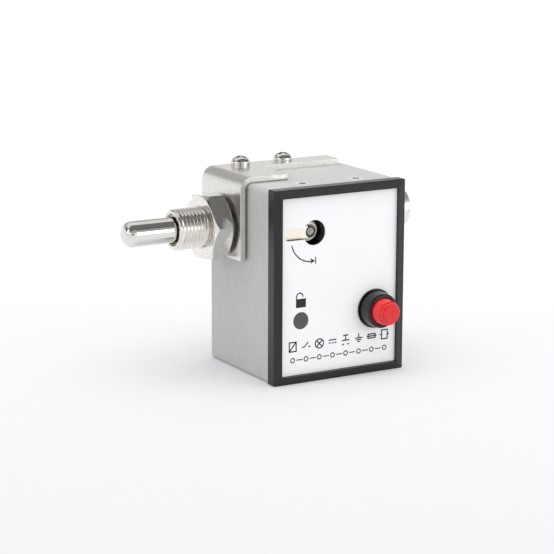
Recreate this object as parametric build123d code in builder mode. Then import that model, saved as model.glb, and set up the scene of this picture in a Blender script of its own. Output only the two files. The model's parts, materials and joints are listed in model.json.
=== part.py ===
from build123d import *

import os
from math import cos, pi, radians, sin, tan

# Electromagnetic cabinet lock, millimetres.
# X runs along the bolt, with the bolt at -X. The label faces -Y. Z is up.
# The origin is on the bottom, midway across the width and the depth.

# Overall box
BODY_W = 58.0
BODY_D = 52.0
BODY_H = 75.0

# Housing
WALL = 2.0
HOUSING_INSET = 0.25
HOUSING_EDGE_R = 1.8
HOUSING_INNER_R = 0.8

# Bezel and label
BEZEL_DEPTH = 5.4
BEZEL_SLOPE = 1.1
BEZEL_BORDER = 3.2
BEZEL_CORNER_R = 0.6
RIM_CORNER_R = 0.3
SKIRT_T = 3.0
LABEL_RECESS = 1.5
LABEL_T = 0.4
LABEL_GAP = 0.1
PANEL_T = 1.2
LUG_W = 7.0
LUG_H = 5.0
LUG_REACH = 4.0
LUG_GAP = 0.1

# Bolt, sleeve and nut
AXIS_Y = 10.5
AXIS_DROP = 18.35
BOLT_R = 5.0
BOLT_REACH = 45.25
BOLT_NOSE_R = 3.6
BOLT_TRAVEL = 12.0
BOLT_CLEAR = 0.2
SLEEVE_R = 8.0
SLEEVE_PITCH_R = 7.5
SLEEVE_REACH = 24.75
SLEEVE_CHAMFER = 0.9
SLEEVE_MOUTH_R = 6.1
SLEEVE_MOUTH_DEPTH = 3.0
SLEEVE_FLANGE_R = 10.5
SLEEVE_FLANGE_T = 1.5
NUT_FLATS = 24.3
NUT_T = 8.0
NUT_OFFSET = 1.3
NUT_TURN = 5.4
NUT_CHAMFER_ANGLE = 30.0
NUT_FACE_INSET = 0.2
NUT_MOUTH_R = 8.4
NUT_CLEAR = 0.6
HEX_SIDES = 6

# Bracket
BRACKET_T = 2.5
BRACKET_GAP = 0.8
BRACKET_DEPTH = 30.8
LEG_BELOW = 11.65
BRACKET_EDGE = 0.45
TOP_WIDE_X = -11.1
TONGUE_DEPTH = 9.5
TONGUE_END_X = 24.6

# Angles and clearances that several places share
QUARTER_TURN = 90.0
FIT_GAP = 0.05
SLIDE_GAP = 0.3
RUN_GAP = 1.0

# Screws
PAN_HEAD_R = 3.8
PAN_HEAD_H = 3.5
PAN_SHANK_R = 1.95
PAN_SHANK_GAP = 0.2
PAN_SHANK_PAST = 0.6
PAN_EDGE_H = 0.9
PAN_CROSS_W = 1.1
PAN_CROSS_SPAN = 4.6
PAN_CROSS_DEPTH = 1.7
PAN_CROSS_TURN = 25.0
PAN_SCREW_X = (-17.1, 2.0)
PAN_SCREW_INSET = 3.9
CROSS_W = 0.9
CROSS_SPAN = 3.4
CROSS_DEPTH = 1.3
FLAT_HEAD_R = 3.0
FLAT_HEAD_ANGLE = 90.0
FLAT_SHANK_R = 1.45
FLAT_SCREW_L = 6.0
FLAT_SCREW_X = (-10.2, 13.6)
FLAT_SCREW_Y = -13.8
STRIP_T = 2.5
STRIP_W = 6.5
STRIP_OVERHANG = 4.0
STRIP_GAP = 0.2

# Emergency key opening and lever
KEY_X = -11.2
KEY_RISE = 1.05
KEY_HOLE_R = 4.85
KEY_SLOT_REACH = 13.1
KEY_SLOT_H = 4.7
KEY_WALL_T = 1.2
KEY_WALL_CLEAR = 0.4
KEY_WALL_FROM = -48.0
KEY_WALL_SPAN = 186.0
LEVER_BEHIND = 0.2
LEVER_ARM_H = 5.4
LEVER_ARM_T = 3.0
LEVER_ARM_REACH = 14.0
LEVER_ARM_ROOT = 1.8
LEVER_EDGE_R = 0.7
EYE_R = 3.3
EYE_BORE_R = 2.75
EYE_STEP = 2.1
EYE_BORE_DEPTH = 3.7
HUB_R = 4.0
POST_R = 2.05
POST_FIT = 0.08
POST_END_DEPTH = 3.0
POST_RIVET_R = 3.2
POST_RIVET_T = 0.8
CRANK_T = 2.0
CRANK_R = 8.5
CRANK_HALF_TURN = 45.0
CRANK_END_R = 2.8
DRIVE_PIN_R = 1.5
DRIVE_SLOT_CLEAR = 0.4
DRIVE_PIN_PAST = 0.4

# Plate behind the panel
PLATE_FRONT_Y = -15.0
PLATE_T = 1.5
PLATE_SIDE_INSET = 3.0
PLATE_RIGHT = 17.0
PLATE_UP = 8.8
PLATE_DOWN = 17.0
PLATE_CORNER_R = 2.0
BOSS_R = 2.3
BOSS_INSET = 3.2
BOSS_HOLE_R = 1.0
SMALL_SHANK_GAP = 0.25
SMALL_HEAD_R = 2.1
SMALL_HEAD_H = 1.3
SMALL_SCREW_L = 5.0

# Release arm on the bolt
ARM_T = 2.0
ARM_FRONT_Y = -9.2
ARM_HUB_R = 8.0
ARM_MARGIN = 2.2
ARM_BEND_R = 0.6
SPIGOT_R = 3.0
SPIGOT_L = 11.0

# Solenoid
FRAME_T = 2.0
FRAME_GAP = 0.25
FRAME_BOTTOM_GAP = 0.5
FRAME_BEND_R = 1.5
FRAME_HOLE_CLEAR = 0.5
COIL_R = 13.0
BOBBIN_T = 1.0
BOBBIN_FLANGE_T = 1.5
BOBBIN_PLAY = 0.1
WINDING_INSET = 0.8
PLUNGER_R = 5.0
PLUNGER_CLEAR = 0.3
CORE_DEPTH = 11.0
CORE_R = 5.2
CORE_STOP = 0.3
CORE_SPIGOT_R = 6.0
CORE_SPIGOT_PAST = 6.0

# Tail rod, return spring, rear sleeve and plug
ROD_R = 2.0
ROD_CLEAR = 0.3
ROD_SEAT = 5.0
ROD_HEAD_R = 3.8
ROD_HEAD_T = 1.5
ROD_HEAD_PAST = 0.8
SPRING_R = 3.5
SPRING_WIRE_R = 0.35
SPRING_TURNS = 6
SPRING_BORE_R = 4.1
REAR_R = 8.0
REAR_REACH = 22.5
PLUG_HEAD_T = 3.6
PLUG_DOME = 1.2
PLUG_SHANK_R = 6.0
PLUG_SHANK_L = 5.0
PLUG_SLOT_W = 1.4
PLUG_SLOT_DEPTH = 2.4

# Push button
BUTTON_X = 16.2
BUTTON_Z = 25.35
COLLAR_R = 7.7
COLLAR_LIP_T = 0.6
COLLAR_SIDE_R = 7.1
COLLAR_TOP_R = 6.65
COLLAR_H = 6.3
COLLAR_EDGE_R = 0.8
BARREL_R = 6.0
BARREL_L = 12.5
CAP_R = 5.3
CAP_TOP_R = 4.6
CAP_CLEAR = 0.3
CAP_PAST_COLLAR = 5.0
CAP_IN_COLLAR = 2.8
CAP_EDGE_R = 0.9
CAP_PAD_R = 3.1
CAP_PAD_H = 0.35
CAP_PAD_EDGE_R = 0.25
BUTTON_TRAVEL = 3.0
STEM_R = 2.4
STEM_L = 9.0
STEM_CLEAR = 0.3
BUTTON_FLOOR_T = 1.2
BUTTON_SPRING_R = 2.1
BUTTON_SPRING_WIRE_R = 0.25
BUTTON_SPRING_TURNS = 5
BUTTON_NUT_FLATS = 14.0
BUTTON_NUT_T = 2.2
CONTACT_W = 2.8
CONTACT_T = 0.6
CONTACT_L = 5.0
CONTACT_PITCH = 5.0

# Indicator
LENS_X = -16.9
LENS_Z = 24.3
LENS_R = 3.3
LENS_FLANGE_R = 4.3
LENS_FLANGE_T = 1.6
LENS_FACE_T = 1.0
LED_R = 2.5
LED_L = 8.0
LED_RIM_R = 2.9
LED_RIM_T = 1.0
LED_TIP_R = 0.2
LED_CLEAR = 0.1
LED_LEAD_R = 0.3
LED_LEAD_PITCH = 2.54

# Circuit board
BOARD_SIDE_INSET = 4.0
BOARD_RIGHT_X = 6.0
BOARD_LOW_Z = 8.0
BOARD_TOP_GAP = 5.1
BOARD_T = 1.6
BOARD_FRONT_Y = -10.0
BOARD_HOLE_INSET = 3.0
COMPONENT_EDGE_R = 0.5
RELAY_W = 12.0
RELAY_H = 9.0
RELAY_L = 8.5
RELAY_SHIFT = 4.0
CAPACITOR_R = 4.0
CAPACITOR_L = 11.0
CAPACITOR_SHIFT = 3.5
CAPACITOR_RISE = 2.0
TERMINAL_W = 10.2
TERMINAL_H = 8.0
TERMINAL_L = 9.5
TERMINAL_HOLE_R = 1.6
RESISTOR_R = 1.1
RESISTOR_L = 6.0
RESISTOR_PITCH = 3.6
RESISTOR_COUNT = 2
RESISTOR_GAP = 0.7
RESISTOR_RISE = 6.0

# Cable inlet in the back
INLET_FROM_SCREW = 8.0
INLET_Z = 13.5
GROMMET_BORE_R = 2.6
GROMMET_NECK_R = 4.4
GROMMET_FLANGE_R = 6.0
GROMMET_FLANGE_T = 1.4

# Places that follow from the sizes
FRONT_Y = -BODY_D / 2
BACK_Y = BODY_D / 2
AXIS_Z = BODY_H - AXIS_DROP
KEY_Z = AXIS_Z + KEY_RISE
SEAM_Y = FRONT_Y + BEZEL_DEPTH
LABEL_Y = FRONT_Y + LABEL_RECESS
PANEL_Y = LABEL_Y + LABEL_T
PANEL_BACK_Y = PANEL_Y + PANEL_T
HOUSING_W = BODY_W - 2 * HOUSING_INSET
HOUSING_H = BODY_H - HOUSING_INSET
LEFT_X = -HOUSING_W / 2
RIGHT_X = HOUSING_W / 2
INNER_LEFT_X = LEFT_X + WALL
INNER_RIGHT_X = RIGHT_X - WALL
INNER_TOP_Z = HOUSING_H - WALL
INNER_BACK_Y = BACK_Y - WALL
LEG_X = LEFT_X - BRACKET_GAP - BRACKET_T
LEG_BOTTOM_Z = AXIS_Z - LEG_BELOW
SLEEVE_END_X = LEFT_X - SLEEVE_REACH
FLANGE_X = INNER_LEFT_X + SLEEVE_FLANGE_T
ARM_X = FLANGE_X + SLIDE_GAP
FRAME_X = ARM_X + ARM_T + BOLT_TRAVEL + RUN_GAP
COIL_X = FRAME_X + FRAME_T
COIL_END_X = INNER_RIGHT_X - FRAME_T
CORE_X = COIL_END_X - CORE_DEPTH
PLUNGER_END_X = CORE_X - BOLT_TRAVEL - CORE_STOP
CORE_END_X = RIGHT_X + CORE_SPIGOT_PAST
REAR_END_X = RIGHT_X + REAR_REACH
PLUG_HEAD_X = REAR_END_X - PLUG_HEAD_T
ROD_HEAD_X = INNER_RIGHT_X + ROD_HEAD_PAST
LEVER_Y = PANEL_BACK_Y + LEVER_BEHIND
CRANK_BACK_Y = PLATE_FRONT_Y - SLIDE_GAP
CRANK_FRONT_Y = CRANK_BACK_Y - CRANK_T
KEY_WALL_END_Y = CRANK_FRONT_Y - KEY_WALL_CLEAR
DRIVE_SLOT_HALF_W = DRIVE_PIN_R + DRIVE_SLOT_CLEAR
DRIVE_X = KEY_X - CRANK_R * sin(radians(CRANK_HALF_TURN))
DRIVE_Z = KEY_Z - CRANK_R * cos(radians(CRANK_HALF_TURN))
DRIVE_LOW_Z = KEY_Z - CRANK_R
COLLAR_FRONT_Y = LABEL_Y - COLLAR_H
BARREL_END_Y = LABEL_Y + BARREL_L
CAP_BACK_Y = COLLAR_FRONT_Y + CAP_IN_COLLAR
CAP_FLOOR_Y = CAP_BACK_Y + BUTTON_TRAVEL + SLIDE_GAP
STEM_END_Y = CAP_BACK_Y + STEM_L
BUTTON_FLOOR_Y = BARREL_END_Y - BUTTON_FLOOR_T
BOARD_BACK_Y = BOARD_FRONT_Y + BOARD_T
BRACKET_TOP_Z = HOUSING_H + BRACKET_T
BRACKET_BEND_R = HOUSING_EDGE_R + BRACKET_GAP
PAN_SCREW_Y = BACK_Y - PAN_SCREW_INSET
PAN_SHANK_L = BRACKET_T + WALL + STRIP_T + PAN_SHANK_PAST
NUT_X = LEG_X - NUT_OFFSET - NUT_T
NUT_BACK_X = NUT_X + NUT_T
NUT_CORNER_R = NUT_FLATS / 2 / cos(pi / HEX_SIDES)
NUT_FACE_R = NUT_FLATS / 2 - NUT_FACE_INSET
NUT_CONE_L = (NUT_CORNER_R - NUT_FACE_R) * tan(radians(NUT_CHAMFER_ANGLE))
NUT_BORE_R = SLEEVE_PITCH_R + FIT_GAP
NUT_MOUTH_L = (NUT_MOUTH_R - NUT_BORE_R) * tan(radians(NUT_CHAMFER_ANGLE))
BOLT_TIP_X = LEFT_X - BOLT_REACH
ARM_LOW_Z = DRIVE_LOW_Z - DRIVE_SLOT_HALF_W - ARM_MARGIN
ARM_HIGH_Z = DRIVE_Z + DRIVE_SLOT_HALF_W + ARM_MARGIN
ARM_END_X = DRIVE_X + DRIVE_SLOT_HALF_W + ARM_MARGIN
BOARD_H = ARM_LOW_Z - BOARD_TOP_GAP - BOARD_LOW_Z
BOARD_Z = BOARD_LOW_Z + BOARD_H / 2
BOARD_W = BOARD_RIGHT_X + BODY_W / 2 - BOARD_SIDE_INSET
BOARD_X = BOARD_RIGHT_X - BOARD_W / 2
BOARD_SCREW_REACH = BOARD_W / 2 - BOARD_HOLE_INSET
INLET_X = BOARD_X - BOARD_SCREW_REACH + INLET_FROM_SCREW
PLATE_LEFT = KEY_X + BODY_W / 2 - PLATE_SIDE_INSET
RELAY_AT = (BOARD_X + RELAY_SHIFT, BOARD_Z)
CAPACITOR_AT = (BOARD_X - BOARD_SCREW_REACH + CAPACITOR_SHIFT, BOARD_Z + CAPACITOR_RISE)
TERMINAL_AT = (INLET_X, INLET_Z)
LAST_RESISTOR_X = BOARD_X + BOARD_SCREW_REACH - SMALL_HEAD_R - RESISTOR_GAP - RESISTOR_R
RESISTOR_Z = BOARD_LOW_Z + RESISTOR_RISE
FRAME_LOW_Z = AXIS_Z - COIL_R - FRAME_BOTTOM_GAP - FRAME_T
PLUG_SHANK_X = PLUG_HEAD_X - PLUG_SHANK_L
PLATE_BACK_Y = PLATE_FRONT_Y + PLATE_T
CAP_FRONT_Y = COLLAR_FRONT_Y - CAP_PAST_COLLAR
BUTTON_SPRING_L = BUTTON_FLOOR_Y - STEM_END_Y - 2 * (BUTTON_SPRING_WIRE_R + FIT_GAP)
LED_Y = LABEL_Y + LENS_FACE_T
LED_END_Y = LED_Y + LED_CLEAR + LED_L


def facing_front(y):
    """Plane at depth y whose sketch axes are X and Z and whose normal points to the front."""
    return Plane((0, y, 0), x_dir=(1, 0, 0), z_dir=(0, -1, 0))


def facing_back(y, x=0.0, z=0.0):
    """Plane at depth y whose normal points to the back."""
    return Plane((x, y, z), x_dir=(-1, 0, 0), z_dir=(0, 1, 0))


def facing_right(x):
    """Plane at x whose sketch axes are Y and Z and whose normal points to the right."""
    return Plane((x, 0, 0), x_dir=(0, 1, 0), z_dir=(1, 0, 0))


def bolt_profile_plane():
    """Plane through the bolt's axis: sketch X is the place along the bolt, sketch Y the radius."""
    return Plane((0, AXIS_Y, AXIS_Z), x_dir=(1, 0, 0), z_dir=(0, -1, 0))


def front_profile_plane(x, z):
    """Plane through a front-to-back axis: sketch X is the radius, sketch Y the depth."""
    return Plane((x, 0, z), x_dir=(1, 0, 0), z_dir=(0, 0, 1))


BOLT_AXIS = Axis((0, AXIS_Y, AXIS_Z), (1, 0, 0))
BUTTON_AXIS = Axis((BUTTON_X, 0, BUTTON_Z), (0, 1, 0))


def finish(part, name, color):
    """Names, colours and writes one sub-part."""
    part.label = name
    part.color = Color(*color)
    export_step(part, f"parts/{name}.step")


def key_opening():
    """Round keyhole with the slot to its left, in the sketch that is open."""
    with Locations((KEY_X, KEY_Z)):
        Circle(KEY_HOLE_R)
    slot_length = KEY_SLOT_REACH + KEY_SLOT_H / 2
    with Locations((KEY_X - KEY_SLOT_REACH + slot_length / 2, KEY_Z)):
        SlotOverall(slot_length, KEY_SLOT_H)


def plate_boss_places():
    """Centres of the four bosses that carry the mechanism plate."""
    left = KEY_X - PLATE_LEFT + BOSS_INSET
    right = KEY_X + PLATE_RIGHT - BOSS_INSET
    low = KEY_Z - PLATE_DOWN + BOSS_INSET
    high = KEY_Z + PLATE_UP - BOSS_INSET
    return [(left, low), (left, high), (right, low), (right, high)]


def board_boss_places():
    """Centres of the four bosses that carry the circuit board."""
    rise = BOARD_H / 2 - BOARD_HOLE_INSET
    return [(BOARD_X + i * BOARD_SCREW_REACH, BOARD_Z + j * rise) for i in (-1, 1) for j in (-1, 1)]


os.makedirs("parts", exist_ok=True)

PAINT = (0.70, 0.71, 0.69)
BLACK = (0.10, 0.10, 0.11)
NICKEL = (0.72, 0.70, 0.66)
STEEL = (0.55, 0.56, 0.58)
BRASS = (0.80, 0.65, 0.30)

# Housing: a box with rounded edges, open at the front
with BuildPart() as housing:
    with BuildSketch(facing_front(BACK_Y)):
        with Locations((0, HOUSING_H / 2)):
            RectangleRounded(HOUSING_W, HOUSING_H, HOUSING_EDGE_R)
    extrude(amount=BACK_Y - SEAM_Y)
    fillet(housing.faces().sort_by(Axis.Y)[-1].edges(), HOUSING_EDGE_R)
    with BuildSketch(facing_front(INNER_BACK_Y)):
        with Locations((0, HOUSING_H / 2)):
            RectangleRounded(HOUSING_W - 2 * WALL, HOUSING_H - 2 * WALL, HOUSING_INNER_R)
    extrude(amount=INNER_BACK_Y - SEAM_Y, mode=Mode.SUBTRACT)
    with Locations(Plane((LEFT_X, AXIS_Y, AXIS_Z), z_dir=(-1, 0, 0))):
        Hole(SLEEVE_R + FIT_GAP, depth=WALL)
    with Locations(Plane((RIGHT_X, AXIS_Y, AXIS_Z), z_dir=(1, 0, 0))):
        Hole(CORE_SPIGOT_R + FIT_GAP, depth=WALL)
    with Locations(Plane((INLET_X, BACK_Y, INLET_Z), z_dir=(0, 1, 0))):
        Hole(GROMMET_NECK_R, depth=WALL)
    for x in FLAT_SCREW_X:
        with Locations(Plane((x, FLAT_SCREW_Y, HOUSING_H))):
            CounterSinkHole(FLAT_SHANK_R + FIT_GAP, FLAT_HEAD_R + FIT_GAP, WALL, FLAT_HEAD_ANGLE)
        with Locations(Plane((x, FLAT_SCREW_Y, 0), z_dir=(0, 0, -1))):
            CounterSinkHole(FLAT_SHANK_R + FIT_GAP, FLAT_HEAD_R + FIT_GAP, WALL, FLAT_HEAD_ANGLE)
    for x in PAN_SCREW_X:
        with Locations(Plane((x, PAN_SCREW_Y, HOUSING_H))):
            Hole(PAN_SHANK_R + PAN_SHANK_GAP, depth=WALL)
finish(housing.part, "housing", PAINT)

# Front bezel: sloped frame, panel, skirt, bosses, lugs and a wall round the key in one moulding
key_wall_in = CenterArc((KEY_X, KEY_Z), KEY_HOLE_R, KEY_WALL_FROM, KEY_WALL_SPAN)
key_wall_out = CenterArc((KEY_X, KEY_Z), KEY_HOLE_R + KEY_WALL_T, KEY_WALL_FROM, KEY_WALL_SPAN)
with BuildPart() as front_bezel:
    with BuildSketch(facing_front(SEAM_Y)):
        with Locations((0, BODY_H / 2)):
            RectangleRounded(BODY_W, BODY_H, BEZEL_CORNER_R)
    extrude(amount=BEZEL_DEPTH - BEZEL_SLOPE)
    with BuildSketch(facing_front(FRONT_Y + BEZEL_SLOPE)):
        with Locations((0, BODY_H / 2)):
            RectangleRounded(BODY_W, BODY_H, BEZEL_CORNER_R)
    with BuildSketch(facing_front(FRONT_Y)):
        with Locations((0, BODY_H / 2)):
            RectangleRounded(BODY_W - 2 * BEZEL_BORDER, BODY_H - 2 * BEZEL_BORDER, RIM_CORNER_R)
    loft()
    with BuildSketch(facing_front(PANEL_Y)):
        with Locations((0, BODY_H / 2)):
            RectangleRounded(BODY_W - 2 * BEZEL_BORDER, BODY_H - 2 * BEZEL_BORDER, RIM_CORNER_R)
    extrude(amount=PANEL_Y - FRONT_Y, mode=Mode.SUBTRACT)
    with BuildSketch(facing_front(SEAM_Y)):
        with Locations((0, BODY_H / 2)):
            RectangleRounded(BODY_W - 2 * SKIRT_T, BODY_H - 2 * SKIRT_T, HOUSING_INNER_R)
    extrude(amount=SEAM_Y - PANEL_BACK_Y, mode=Mode.SUBTRACT)
    with BuildSketch(facing_front(PLATE_FRONT_Y)):
        with Locations(*plate_boss_places()):
            Circle(BOSS_R)
            Circle(BOSS_HOLE_R, mode=Mode.SUBTRACT)
    extrude(amount=PLATE_FRONT_Y - PANEL_BACK_Y)
    with BuildSketch(facing_front(BOARD_FRONT_Y)):
        with Locations(*board_boss_places()):
            Circle(BOSS_R)
            Circle(BOSS_HOLE_R, mode=Mode.SUBTRACT)
    extrude(amount=BOARD_FRONT_Y - PANEL_BACK_Y)
    with BuildSketch(facing_front(KEY_WALL_END_Y)):
        with BuildLine():
            add(key_wall_in)
            add(key_wall_out)
            Line(key_wall_in @ 0, key_wall_out @ 0)
            Line(key_wall_in @ 1, key_wall_out @ 1)
        make_face()
    extrude(amount=KEY_WALL_END_Y - PANEL_BACK_Y)
    with BuildSketch(facing_front(FLAT_SCREW_Y + LUG_REACH)):
        for x in FLAT_SCREW_X:
            with Locations((x, INNER_TOP_Z - LUG_GAP), (x, WALL + LUG_GAP + LUG_H)):
                Rectangle(LUG_W, LUG_H, align=(Align.CENTER, Align.MAX))
    extrude(amount=FLAT_SCREW_Y + LUG_REACH - PANEL_BACK_Y)
    for x in FLAT_SCREW_X:
        with Locations(Plane((x, FLAT_SCREW_Y, INNER_TOP_Z - LUG_GAP))):
            Hole(FLAT_SHANK_R + FIT_GAP, depth=LUG_H)
        with Locations(Plane((x, FLAT_SCREW_Y, WALL + LUG_GAP), z_dir=(0, 0, -1))):
            Hole(FLAT_SHANK_R + FIT_GAP, depth=LUG_H)
    with BuildSketch(facing_front(PANEL_BACK_Y)):
        key_opening()
        with Locations((BUTTON_X, BUTTON_Z)):
            Circle(BARREL_R + FIT_GAP)
        with Locations((LENS_X, LENS_Z)):
            Circle(LENS_R + FIT_GAP)
    extrude(amount=PANEL_T, mode=Mode.SUBTRACT)
finish(front_bezel.part, "front_bezel", BLACK)

# Label plate
with BuildPart() as label_plate:
    with BuildSketch(facing_front(PANEL_Y)):
        with Locations((0, BODY_H / 2)):
            label_w = BODY_W - 2 * (BEZEL_BORDER + LABEL_GAP)
            label_h = BODY_H - 2 * (BEZEL_BORDER + LABEL_GAP)
            RectangleRounded(label_w, label_h, RIM_CORNER_R)
        with BuildSketch(mode=Mode.SUBTRACT):
            key_opening()
            with Locations((BUTTON_X, BUTTON_Z)):
                Circle(BARREL_R + FIT_GAP)
            with Locations((LENS_X, LENS_Z)):
                Circle(LENS_R + FIT_GAP)
    extrude(amount=LABEL_T)
finish(label_plate.part, "label_plate", (0.95, 0.95, 0.96))

# Mounting bracket: one folded sheet, a leg down the left side and a stepped top
with BuildPart() as mounting_bracket:
    with BuildSketch(facing_front(BACK_Y)):
        with BuildLine():
            outer = FilletPolyline(
                (LEG_X, LEG_BOTTOM_Z),
                (LEG_X, BRACKET_TOP_Z),
                (TONGUE_END_X, BRACKET_TOP_Z),
                radius=BRACKET_BEND_R + BRACKET_T,
            )
            inner = FilletPolyline(
                (LEG_X + BRACKET_T, LEG_BOTTOM_Z),
                (LEG_X + BRACKET_T, HOUSING_H),
                (TONGUE_END_X, HOUSING_H),
                radius=BRACKET_BEND_R,
            )
            Line(outer @ 0, inner @ 0)
            Line(outer @ 1, inner @ 1)
        make_face()
    extrude(amount=BRACKET_DEPTH)
    with BuildSketch(Plane.XY.offset(HOUSING_H)):
        with Locations((TOP_WIDE_X, BACK_Y - TONGUE_DEPTH)):
            Rectangle(TONGUE_END_X - TOP_WIDE_X, BRACKET_DEPTH, align=(Align.MIN, Align.MAX))
    extrude(amount=BRACKET_T, mode=Mode.SUBTRACT)
    under_side = mounting_bracket.faces().filter_by(Axis.Z).group_by(Axis.Z)[-2]
    chamfer(under_side.edges().filter_by(Axis.X).group_by(Axis.Y)[0], BRACKET_EDGE)
    with Locations(Plane((LEG_X, AXIS_Y, AXIS_Z), z_dir=(-1, 0, 0))):
        Hole(SLEEVE_R + FIT_GAP, depth=BRACKET_T)
    for x in PAN_SCREW_X:
        with Locations(Plane((x, PAN_SCREW_Y, BRACKET_TOP_Z))):
            Hole(PAN_SHANK_R + PAN_SHANK_GAP, depth=BRACKET_T)
finish(mounting_bracket.part, "mounting_bracket", NICKEL)

# Bracket screws: pan heads with a cross recess
with BuildPart() as bracket_screws:
    for x in PAN_SCREW_X:
        with BuildSketch(Plane((x, PAN_SCREW_Y, 0), x_dir=(1, 0, 0), z_dir=(0, -1, 0))):
            with BuildLine():
                head_side = Polyline(
                    (0, BRACKET_TOP_Z - PAN_SHANK_L),
                    (PAN_SHANK_R, BRACKET_TOP_Z - PAN_SHANK_L),
                    (PAN_SHANK_R, BRACKET_TOP_Z),
                    (PAN_HEAD_R, BRACKET_TOP_Z),
                    (PAN_HEAD_R, BRACKET_TOP_Z + PAN_EDGE_H),
                )
                crown_base = (0, BRACKET_TOP_Z + PAN_EDGE_H)
                crown_h = PAN_HEAD_H - PAN_EDGE_H
                crown = EllipticalCenterArc(crown_base, PAN_HEAD_R, crown_h, arc_size=QUARTER_TURN)
                Line(crown @ 1, head_side @ 0)
            make_face()
        revolve(axis=Axis((x, PAN_SCREW_Y, 0), (0, 0, 1)))
        with BuildSketch(Plane((x, PAN_SCREW_Y, BRACKET_TOP_Z + PAN_HEAD_H))):
            Rectangle(PAN_CROSS_SPAN, PAN_CROSS_W, rotation=PAN_CROSS_TURN)
            Rectangle(PAN_CROSS_W, PAN_CROSS_SPAN, rotation=PAN_CROSS_TURN)
        extrude(amount=-PAN_CROSS_DEPTH, mode=Mode.SUBTRACT)
finish(bracket_screws.part, "bracket_screws", STEEL)

# Tapped strip under the housing's top, which those screws pull up
with BuildPart() as nut_strip:
    with BuildSketch(Plane.XY.offset(INNER_TOP_Z - STRIP_T)):
        with Locations((PAN_SCREW_X[0] - STRIP_OVERHANG, INNER_BACK_Y - STRIP_GAP)):
            strip_length = PAN_SCREW_X[-1] - PAN_SCREW_X[0] + 2 * STRIP_OVERHANG
            Rectangle(strip_length, STRIP_W, align=(Align.MIN, Align.MAX))
        with Locations(*[(x, PAN_SCREW_Y) for x in PAN_SCREW_X]):
            Circle(PAN_SHANK_R + FIT_GAP, mode=Mode.SUBTRACT)
    extrude(amount=STRIP_T)
finish(nut_strip.part, "nut_strip", STEEL)

# Countersunk screws that hold the bezel's lugs, two in the top and two in the bottom
with BuildPart() as housing_screws:
    for x in FLAT_SCREW_X:
        for seat in (
            Plane((x, FLAT_SCREW_Y, HOUSING_H), z_dir=(0, 0, 1)),
            Plane((x, FLAT_SCREW_Y, 0), z_dir=(0, 0, -1)),
        ):
            with BuildSketch(seat):
                Circle(FLAT_HEAD_R)
            with BuildSketch(seat.offset(FLAT_SHANK_R - FLAT_HEAD_R)):
                Circle(FLAT_SHANK_R)
            loft()
            with BuildSketch(seat.offset(FLAT_SHANK_R - FLAT_HEAD_R)):
                Circle(FLAT_SHANK_R)
            extrude(amount=-FLAT_SCREW_L)
            with BuildSketch(seat):
                Rectangle(CROSS_SPAN, CROSS_W)
                Rectangle(CROSS_W, CROSS_SPAN)
            extrude(amount=-CROSS_DEPTH, mode=Mode.SUBTRACT)
finish(housing_screws.part, "housing_screws", STEEL)

# Guide sleeve with an outside thread: plain at the major diameter, at the pitch diameter in the nut
with BuildPart() as threaded_sleeve:
    with BuildSketch(bolt_profile_plane()):
        with BuildLine():
            Polyline(
                (SLEEVE_END_X, SLEEVE_MOUTH_R),
                (SLEEVE_END_X, SLEEVE_R - SLEEVE_CHAMFER),
                (SLEEVE_END_X + SLEEVE_CHAMFER, SLEEVE_R),
                (NUT_X - NUT_CLEAR, SLEEVE_R),
                (NUT_X - NUT_CLEAR, SLEEVE_PITCH_R),
                (NUT_BACK_X, SLEEVE_PITCH_R),
                (NUT_BACK_X, SLEEVE_R),
                (INNER_LEFT_X, SLEEVE_R),
                (INNER_LEFT_X, SLEEVE_FLANGE_R),
                (FLANGE_X, SLEEVE_FLANGE_R),
                (FLANGE_X, BOLT_R + BOLT_CLEAR),
                (SLEEVE_END_X + SLEEVE_MOUTH_DEPTH, BOLT_R + BOLT_CLEAR),
                (SLEEVE_END_X + SLEEVE_MOUTH_DEPTH, SLEEVE_MOUTH_R),
                close=True,
            )
        make_face()
    revolve(axis=BOLT_AXIS)
finish(threaded_sleeve.part, "threaded_sleeve", NICKEL)

# Lock nut: a hexagon, its corners and the mouths of its bore turned to a cone on both faces
with BuildPart() as lock_nut:
    with BuildSketch(facing_right(NUT_X)):
        with Locations((AXIS_Y, AXIS_Z)):
            RegularPolygon(NUT_FLATS / 2, HEX_SIDES, major_radius=False, rotation=-NUT_TURN)
    extrude(amount=NUT_T)
    with BuildSketch(bolt_profile_plane()):
        with BuildLine():
            Polyline(
                (NUT_X, NUT_MOUTH_R),
                (NUT_X, NUT_FACE_R),
                (NUT_X + NUT_CONE_L, NUT_CORNER_R),
                (NUT_BACK_X - NUT_CONE_L, NUT_CORNER_R),
                (NUT_BACK_X, NUT_FACE_R),
                (NUT_BACK_X, NUT_MOUTH_R),
                (NUT_BACK_X - NUT_MOUTH_L, NUT_BORE_R),
                (NUT_X + NUT_MOUTH_L, NUT_BORE_R),
                close=True,
            )
        make_face()
    revolve(axis=BOLT_AXIS, mode=Mode.INTERSECT)
finish(lock_nut.part, "lock_nut", NICKEL)

# Bolt: round nose outside, spigot inside
with BuildPart() as bolt_pin:
    with BuildSketch(facing_right(BOLT_TIP_X)):
        with Locations((AXIS_Y, AXIS_Z)):
            Circle(BOLT_R)
    extrude(amount=ARM_X - BOLT_TIP_X)
    fillet(bolt_pin.edges().sort_by(Axis.X)[0], BOLT_NOSE_R)
    with BuildSketch(facing_right(ARM_X)):
        with Locations((AXIS_Y, AXIS_Z)):
            Circle(SPIGOT_R)
    extrude(amount=SPIGOT_L)
finish(bolt_pin.part, "bolt_pin", STEEL)

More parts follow.
